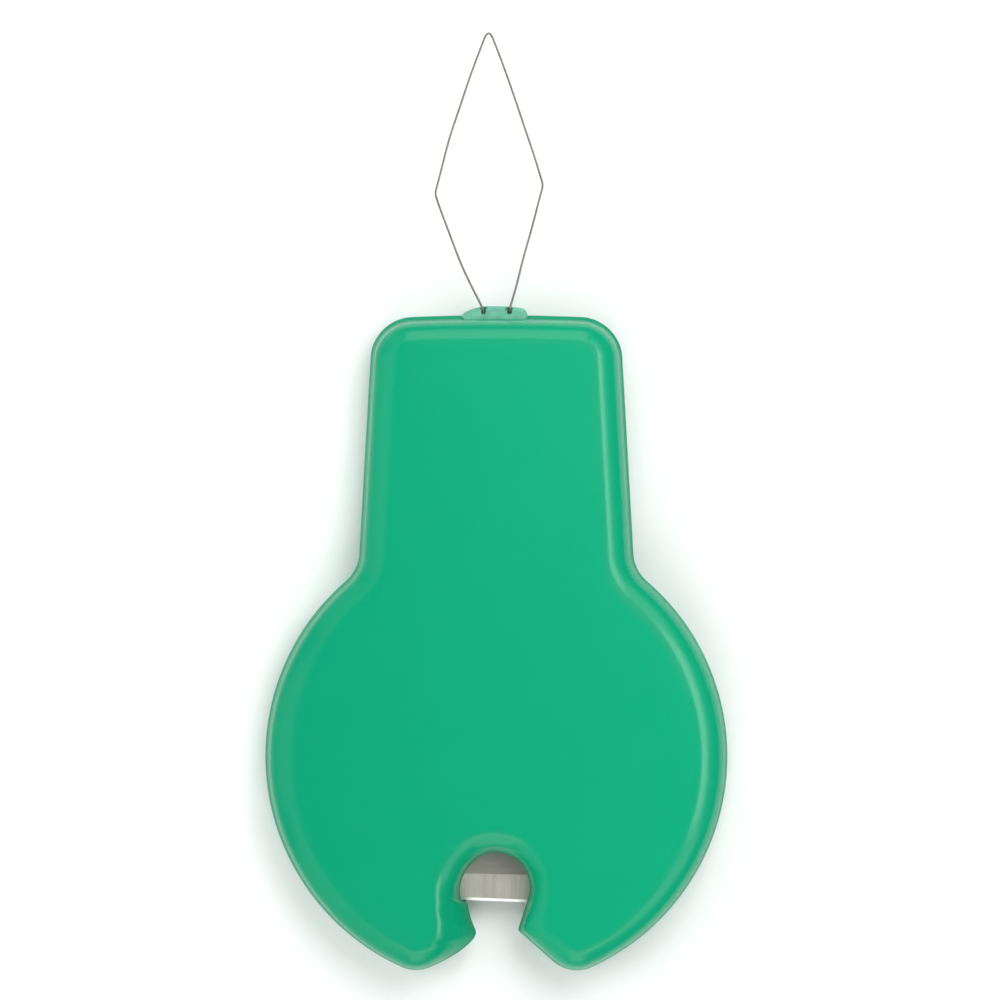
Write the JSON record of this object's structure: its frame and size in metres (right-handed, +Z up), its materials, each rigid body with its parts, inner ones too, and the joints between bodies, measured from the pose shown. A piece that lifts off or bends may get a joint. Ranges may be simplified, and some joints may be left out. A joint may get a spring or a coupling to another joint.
{
  "type": "needle threader with thread cutter",
  "caption": "Flat hand-held needle threader: a bulb-shaped two-shell plastic body, a fine wire diamond loop at the top and a guarded cutting blade in a keyhole slot.",
  "frame": {"origin": "centre of the round body, on the rear face that the part rests on", "axes": "+Z up through the thickness from the rear face to the front face, +Y along the length to the wire's tip, +X to the right seen from the front"},
  "size_m": [0.034, 0.0688, 0.006],
  "materials": {
    "front_shell": "smooth satin-gloss moulding",
    "rear_shell": "smooth satin-gloss moulding",
    "cutter_blade": "ground bevel, dull flat",
    "threader_wire": "drawn fine wire",
    "wire_holder": "natural moulded"
  },
  "bodies": {
    "root": {"front_shell": "front_shell", "rear_shell": "rear_shell", "cutter_blade": "cutter_blade", "threader_wire": "threader_wire", "wire_holder": "wire_holder"}
  },
  "joints": []
}
